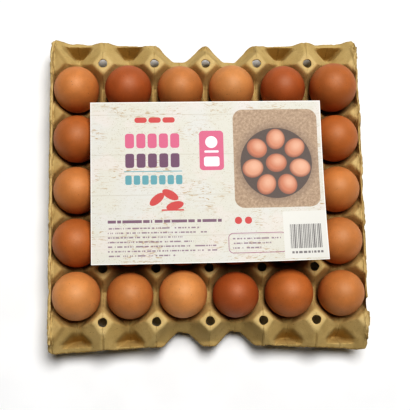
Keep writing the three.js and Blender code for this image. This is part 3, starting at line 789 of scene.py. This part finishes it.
def card_mesh(material):
    """The card as one thin closed sheet."""
    nx, ny = CARD_CELLS
    x, y = np.meshgrid(np.linspace(-0.5, 0.5, nx + 1) * CARD_LENGTH,
                       np.linspace(-0.5, 0.5, ny + 1) * CARD_WIDTH, indexing="ij")
    base = card_height() + card_lift(x, y)
    turn = math.radians(CARD_TURN)
    place_x = CARD_CENTRE[0] + x * math.cos(turn) - y * math.sin(turn)
    place_y = CARD_CENTRE[1] + x * math.sin(turn) + y * math.cos(turn)
    layers = [np.stack([place_x, place_y, base + side], -1).reshape(-1, 3)
              for side in (0, CARD_THICKNESS)]
    points = np.concatenate(layers)
    index = np.arange((nx + 1) * (ny + 1)).reshape(nx + 1, ny + 1)
    a, b = index[:-1, :-1].ravel(), index[1:, :-1].ravel()
    c, d = index[1:, 1:].ravel(), index[:-1, 1:].ravel()
    up = index.size
    faces = [np.stack([a, b, c, d], 1) + up, np.stack([d, c, b, a], 1)]
    loop = outline(index)
    after = np.roll(loop, -1)
    faces.append(np.stack([loop, after, after + up, loop + up], 1))
    card = mesh_object("card_print", points, np.concatenate(faces), material)
    card.data.set_sharp_from_angle(angle=math.radians(CARD_SHARP_ANGLE))
    return card


class Print:
    """Flat shapes in ink on the card, placed in millimetres from the card's middle."""

    def __init__(self, shader, colour):
        self.s = shader
        self.colour = colour
        turned = shader.node("ShaderNodeMapping")
        moved = shader.vector("SUBTRACT", shader.place, (*CARD_CENTRE, 0))
        shader.feed(turned.inputs["Vector"], moved)
        turned.inputs["Rotation"].default_value = (0, 0, -math.radians(CARD_TURN))
        parts = shader.split(turned.outputs[0])
        self.x, self.y = parts["X"], parts["Y"]
        flat = shader.node("ShaderNodeCombineXYZ")
        shader.feed(flat.inputs[0], self.x)
        shader.feed(flat.inputs[1], self.y)
        self.place = flat.outputs[0]

    def noise(self, size, detail, roughness, offset, stretch=None):
        """Noise in the card's own directions, drawn out where stretch is below 1."""
        place = self.place if stretch is None else self.s.vector("MULTIPLY", self.place, stretch)
        return self.s.noise(size, detail, roughness, place, offset)

    def rectangle(self, left, bottom, right, top, corner=0.0):
        """Distance outside a rectangle with rounded corners; negative inside."""
        m = self.s.math
        flat = corner + 0.001

        def past(value, low, high):
            return m("SUBTRACT", m("ABSOLUTE", m("SUBTRACT", value, (low + high) / 2)),
                     (high - low) / 2 - flat)

        across, along = past(self.x, left, right), past(self.y, bottom, top)
        outside = m("SQRT", m("ADD", m("POWER", m("MAXIMUM", across, 0.0), 2.0),
                              m("POWER", m("MAXIMUM", along, 0.0), 2.0)))
        inside = m("MINIMUM", m("MAXIMUM", across, along), 0.0)
        return m("SUBTRACT", m("ADD", outside, inside), flat)

    def ellipse(self, x, y, wide, high, lean=0.0):
        """Distance outside an ellipse, roughly, leaning by lean degrees."""
        m = self.s.math
        turn = math.radians(lean)
        dx, dy = m("SUBTRACT", self.x, x), m("SUBTRACT", self.y, y)
        u = m("ADD", m("MULTIPLY", dx, math.cos(turn)), m("MULTIPLY", dy, math.sin(turn)))
        v = m("SUBTRACT", m("MULTIPLY", dy, math.cos(turn)), m("MULTIPLY", dx, math.sin(turn)))
        scaled = m("SQRT", m("ADD", m("POWER", m("DIVIDE", u, wide / 2), 2.0),
                             m("POWER", m("DIVIDE", v, high / 2), 2.0)))
        return m("MULTIPLY", m("SUBTRACT", scaled, 1.0), min(wide, high) / 2)

    def inked(self, distance, soft=SOFT_EDGE):
        """1 inside a shape and 0 outside, from the distance outside it."""
        return self.s.between(distance, -soft, soft, 1, 0, smooth=False)

    def tint(self, mask, ink, share=None):
        """Lays ink on where mask is 1, or only share of it."""
        mask = mask if share is None else self.s.math("MULTIPLY", mask, share)
        self.colour = self.s.mix(mask, self.colour, INKS[ink])

    def ink(self, distance, ink, share=None, soft=SOFT_EDGE):
        """Fills a shape, given by the distance outside it, with ink."""
        self.tint(self.inked(distance, soft), ink, share)

    def blocks(self, left, bottom, right, top, count, ink, gap, corner):
        """A row of like blocks, each with rounded corners, in place of a word."""
        step = (right - left) / count
        m = self.s.math
        inside = m("SUBTRACT", self.x, left)
        number = m("FLOOR", m("DIVIDE", inside, step))
        kept = self.x
        self.x = m("SUBTRACT", inside, m("MULTIPLY", m("ADD", number, 0.5), step))
        shape = self.rectangle(-step * (1 - gap) / 2, bottom, step * (1 - gap) / 2, top, corner)
        self.x = kept
        band = self.rectangle(left, bottom - 1, right, top + 1)
        self.ink(m("MAXIMUM", shape, band), ink)

    def dashes(self, left, bottom, right, top, ink, size, seed, share=0.9, cover=0.35):
        """A line of short dashes of uneven length, in place of small print."""
        m = self.s.math
        number = m("FLOOR", m("DIVIDE", self.x, size))
        noise = self.s.node("ShaderNodeTexWhiteNoise", noise_dimensions="1D")
        self.s.feed(noise.inputs["W"], m("ADD", number, 13.7 * seed))
        open_space = m("LESS_THAN", noise.outputs["Value"], cover)
        band = self.rectangle(left, bottom, right, top)
        self.ink(m("ADD", band, m("MULTIPLY", open_space, 5.0)), ink, share, soft=SHARP_EDGE)


def print_boards(s, p):
    """Whitewashed boards: wavy grain lines, chips of bare wood and thin joints between boards."""
    figure = p.noise(5.5, 3, 0.55, 0.0, stretch=(0.12, 1.0, 1.0))
    ring = s.math("ABSOLUTE", s.math("SUBTRACT", s.math("FRACT", s.math("MULTIPLY", figure, 9.0)), 0.5))
    rim_shade_and_board_wear = p.noise(26, 3, 0.55, 5, stretch=(0.6, 1.0, 1.0))
    broken = s.between(p.noise(1.6, 2, 0.6, 44, stretch=(0.35, 1.0, 1.0)), 0.44, 0.56)
    lines = s.math("MULTIPLY", s.between(ring, 0.04, 0.15, 1, 0), broken)
    bare = s.math("MULTIPLY", lines, s.between(rim_shade_and_board_wear, 0.45, 0.57, 0.15, 1))
    p.tint(s.between(p.noise(30, 2, 0.5, 70), 0.4, 0.7, 0, 0.6), "grey")
    p.tint(s.between(p.noise(24, 2, 0.5, 170), 0.5, 0.66, 0, 0.45), "blush")
    p.tint(bare, "bare wood", 0.85)
    patches = s.between(p.noise(15, 2, 0.6, 88), 0.5, 0.66)
    chips = s.between(p.noise(1.25, 2, 0.6, 30), 0.60, 0.66, 0, 0.75)
    p.tint(s.math("MULTIPLY", chips, patches), "chip")
    p.tint(s.between(p.noise(0.9, 1, 0.5, 130), 0.68, 0.72, 0, 0.6), "speck")
    board = s.math("DIVIDE", s.math("ADD", p.y, BOARD_START), BOARD_WIDTH)
    joint = s.math("ABSOLUTE", s.math("SUBTRACT", board, s.math("ROUND", board)))
    p.tint(s.between(joint, *JOINT_HALF, 0.4, 0), "board joint")


def print_titles(p):
    """Rows of blocks in place of the title, and a badge with plain marks."""
    p.blocks(-66, 54.5, -28, 59.5, 3, "coral", 0.12, 2.4)
    p.blocks(-75, 31, -24, 44.5, 5, "pink", 0.2, 2.6)
    p.blocks(-75, 13, -24, 26, 5, "purple", 0.22, 2.2)
    p.ink(p.rectangle(-75, 9.2, -23, 9.9), "teal")
    p.blocks(-75, -2.5, -22, 6, 7, "teal", 0.24, 1.6)
    p.ink(p.rectangle(-7, 10, 15, 46.5, 3.5), "pink")
    p.ink(p.ellipse(4, 36, 11, 11), "white")
    p.ink(p.rectangle(-2.5, 26.2, 10.5, 28.2, 0.9), "white")
    p.ink(p.rectangle(-3, 13.5, 11, 22.5, 2), "white")


def print_picture(s, p):
    """A woven linen field with a round dark dish of oval shapes."""
    field = p.rectangle(24, -25, 101, 66, 9)
    weft = s.math("SINE", s.math("MULTIPLY", p.y, LINEN_THREADS))
    warp = s.math("SINE", s.math("MULTIPLY", p.x, LINEN_THREADS))
    uneven = s.math("MULTIPLY", s.math("SUBTRACT", p.noise(2.4, 2, 0.6, 12), 0.5), 3.0)
    thread = s.math("ADD", s.math("MULTIPLY", weft, warp), uneven)
    p.ink(field, "linen")
    inside = p.inked(field)
    p.tint(s.math("MULTIPLY", inside, s.between(thread, -0.9, 0.5, 0.85, 0)), "dark thread")
    p.tint(s.math("MULTIPLY", inside, s.between(thread, 0.5, 1.3, 0, 0.9)), "light thread")
    p.ink(p.ellipse(DISH_X, DISH_Y, 72, 72), "dish shadow", 0.55, soft=4.0)
    p.ink(p.ellipse(DISH_X, DISH_Y, 65, 65), "dish")
    ovals = [(DISH_X, DISH_Y, 0, 1)]
    for k in range(OVALS_ROUND):
        lean = 90 + 360 * k / OVALS_ROUND
        ovals.append((DISH_X + OVAL_CIRCLE * math.cos(math.radians(lean)),
                      DISH_Y + OVAL_CIRCLE * math.sin(math.radians(lean)), lean, k % 3))
    for x, y, lean, shade in ovals:
        p.ink(p.ellipse(x, y, 19, 17, lean), "oval rim")
        p.ink(p.ellipse(x + 0.5, y + 0.5, 16.4, 14.4, lean), f"oval {shade}", soft=1.3)
        p.ink(p.ellipse(x + 1.6, y + 2.0, 9, 8, lean), "oval light", 0.7, soft=2.4)


def print_small(s, p):
    """A sprig of plain leaves, lines of dashes, an outlined box and a patch with upright bars."""
    for x, y, lean in ((-46, -16, 40), (-34, -12, -30), (-30, -22, 15)):
        p.ink(p.ellipse(x, y, 16, 7.5, lean), "coral")
    p.ink(p.rectangle(-42, -26.5, -22, -25.2, 0.5), "coral")

    p.dashes(-90, -37.2, 12, -34.6, "purple", 1.15, 1, cover=0.22)
    for k, reach in enumerate((-8, -2, -24, -14, 6, 8, -30)):
        low = -42.6 - 4.1 * k
        p.dashes(-90, low, reach, low + 1.3, "small print", 0.75, 2 + k, 0.75)

    outer = p.rectangle(17, -66, 69, -47.5, 4.5)
    line = s.math("SUBTRACT", s.math("ABSOLUTE", s.math("ADD", outer, 0.35)), 0.3)
    p.ink(line, "box line")
    for k in range(3):
        low = -53.4 - 4.2 * k
        p.dashes(21, low, 64 - 9 * k, low + 1.3, "small print", 0.75, 11 + k, 0.75)

    p.ink(p.rectangle(66.5, -71.8, 105, -29), "plain patch")
    p.blocks(22, -39.5, 40, -33, 2, "coral", 0.3, 3.0)
    waves = s.math("ADD", s.math("SINE", s.math("MULTIPLY", p.x, 4.1)),
                   s.math("SINE", s.math("MULTIPLY", p.x, 6.7)))
    bars = s.math("MAXIMUM", p.rectangle(72, -63, 100, -41), s.math("MULTIPLY", waves, 0.3))
    p.ink(bars, "bar", 0.9, soft=0.05)
    p.dashes(71, -67.6, 100, -65.6, "bar print", 1.0, 21, 0.8, cover=0.4)


def card_material():
    """Satin card, printed with boards and with plain shapes in place of words and pictures."""
    s = Shader("card", Specular_IOR_Level=0.4)
    p = Print(s, INKS["ground"])
    print_boards(s, p)
    print_titles(p)
    print_picture(s, p)
    print_small(s, p)
    edge = p.rectangle(-CARD_LENGTH / 2, -CARD_WIDTH / 2, CARD_LENGTH / 2, CARD_WIDTH / 2)
    p.ink(s.math("SUBTRACT", -0.8, edge), "cut edge", 0.7)
    grain = s.noise(0.35, 2, 0.6)
    normal = s.bump(grain, 0.02, 0.4)
    return s.finish(p.colour, s.between(grain, 0.2, 0.8, 0.42, 0.52), normal)


# ---- Building -------------------------------------------------------------------------------

tray = tray_mesh(pulp_material())
drill_holes(tray)
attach(tray, "root")
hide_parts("tray")

for egg_row in range(ROWS):
    for egg_column in range(COLUMNS):
        egg_piece(egg_row, egg_column)

card = card_mesh(card_material())
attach(card, "root")
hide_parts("card")


# ---- Floor, light and camera ----------------------------------------------------------------

FLOOR_HALF = 3000.0  # in millimetres
KEY_PLACE, KEY_SIZE, KEY_WATTS = (0.5, 1.2, 4.2), 2.4, 154  # in metres; aimed at the tray's middle
WORLD_STRENGTH = 0.03
CAMERA_PLACE = (-0.05166, -0.15847, 0.8916)  # in metres
CAMERA_RIGHT, CAMERA_UP = (0.99837, -0.01715, 0.05437), (0.00783, 0.98588, 0.16725)
CAMERA_LENS, CAMERA_SENSOR, CAMERA_NEAR = 82.0, 36, 0.05


def floor():
    """A plain pale floor that the tray stands on."""
    s = Shader("floor", Roughness=0.9, Specular_IOR_Level=0.1)
    soft = s.noise(60, 2)
    colour = s.mix(s.between(soft, 0.3, 0.7), linear(248, 248, 248), linear(252, 252, 252))
    points = [(x * FLOOR_HALF, y * FLOOR_HALF, 0) for x, y in ((-1, -1), (1, -1), (1, 1), (-1, 1))]
    made = mesh_object("floor", points, [(0, 1, 2, 3)], s.finish(colour))


def light():
    """One large soft lamp high over the back right, and a trace of light from all round."""
    data = bpy.data.lights.new("key", "AREA")
    data.shape = "DISK"
    data.size = KEY_SIZE
    data.energy = KEY_WATTS
    lamp = bpy.data.objects.new("key", data)
    lamp.location = KEY_PLACE
    lamp.rotation_euler = (-Vector(KEY_PLACE)).to_track_quat("-Z", "Y").to_euler()
    bpy.context.scene.collection.objects.link(lamp)
    world = bpy.data.worlds.new("studio")
    world.use_nodes = True
    background = world.node_tree.nodes["Background"]
    background.inputs["Color"].default_value = (1, 1, 1, 1)
    background.inputs["Strength"].default_value = WORLD_STRENGTH
    bpy.context.scene.world = world


def camera():
    """The viewing angle: nearly straight down, from a little in front and to the left."""
    data = bpy.data.cameras.new("camera")
    data.sensor_width = CAMERA_SENSOR
    data.lens = CAMERA_LENS
    data.clip_start = CAMERA_NEAR
    made = bpy.data.objects.new("camera", data)
    right, up = Vector(CAMERA_RIGHT), Vector(CAMERA_UP)
    turn = Matrix((right, up, right.cross(up))).transposed()
    made.matrix_world = Matrix.Translation(CAMERA_PLACE) @ turn.to_4x4()
    bpy.context.scene.collection.objects.link(made)
    bpy.context.scene.camera = made


floor()
light()
bpy.context.scene.view_settings.view_transform = "Standard"
bpy.context.scene.view_settings.look = "High Contrast"
camera()
